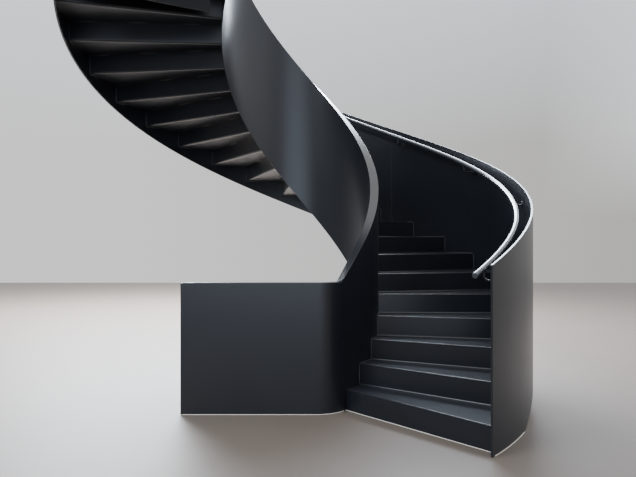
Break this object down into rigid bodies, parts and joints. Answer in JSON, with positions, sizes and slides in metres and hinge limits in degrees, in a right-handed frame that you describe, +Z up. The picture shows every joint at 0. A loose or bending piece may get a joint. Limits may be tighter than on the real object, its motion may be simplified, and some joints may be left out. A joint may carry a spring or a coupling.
{
  "type": "spiral staircase",
  "caption": "Round steel stair of folded plate steps between a tall curved outer guard plate with a handrail and a double-skinned inner guard about an open well.",
  "frame": {"origin": "middle of the underside of the base plate under the first tread, on the finished floor", "axes": "+Z up; +X to the right along the front parapet, seen from its outer side; +Y away from the parapet towards the stair's axis"},
  "size_m": [4.096, 3.7341, 4.8696],
  "materials": {
    "step_steel": "satin blue-black powder coat, sealed clear",
    "outer_guard_steel": "satin blue-black powder coat",
    "inner_guard_steel": "satin blue-black powder coat",
    "fixing_steel": "satin blue-black powder coat",
    "rail_steel": "satin dark coat, smoother than the plates"
  },
  "bodies": {
    "root": {"first_riser": "step_steel", "step_01": "step_steel", "step_02": "step_steel", "step_03": "step_steel", "step_04": "step_steel", "step_05": "step_steel", "step_06": "step_steel", "step_07": "step_steel", "step_08": "step_steel", "step_09": "step_steel", "step_10": "step_steel", "step_11": "step_steel", "step_12": "step_steel", "step_13": "step_steel", "step_14": "step_steel", "step_15": "step_steel", "step_16": "step_steel", "step_17": "step_steel", "step_18": "step_steel", "step_19": "step_steel", "step_20": "step_steel", "landing_lip": "step_steel", "base_plate": "fixing_steel", "landing_flange": "fixing_steel", "outer_guard_1": "outer_guard_steel", "outer_guard_2": "outer_guard_steel", "outer_guard_3": "outer_guard_steel", "outer_guard_4": "outer_guard_steel", "outer_guard_5": "outer_guard_steel", "outer_guard_6": "outer_guard_steel", "outer_guard_7": "outer_guard_steel", "outer_guard_8": "outer_guard_steel", "inner_guard_1": "inner_guard_steel", "inner_guard_2": "inner_guard_steel", "inner_guard_3": "inner_guard_steel", "inner_guard_4": "inner_guard_steel", "inner_guard_5": "inner_guard_steel", "inner_guard_6": "inner_guard_steel", "inner_guard_7": "inner_guard_steel", "guard_bend": "inner_guard_steel", "front_parapet": "inner_guard_steel", "handrail_1": "rail_steel", "handrail_2": "rail_steel", "handrail_3": "rail_steel", "handrail_4": "rail_steel", "handrail_brackets": "rail_steel"}
  },
  "joints": []
}
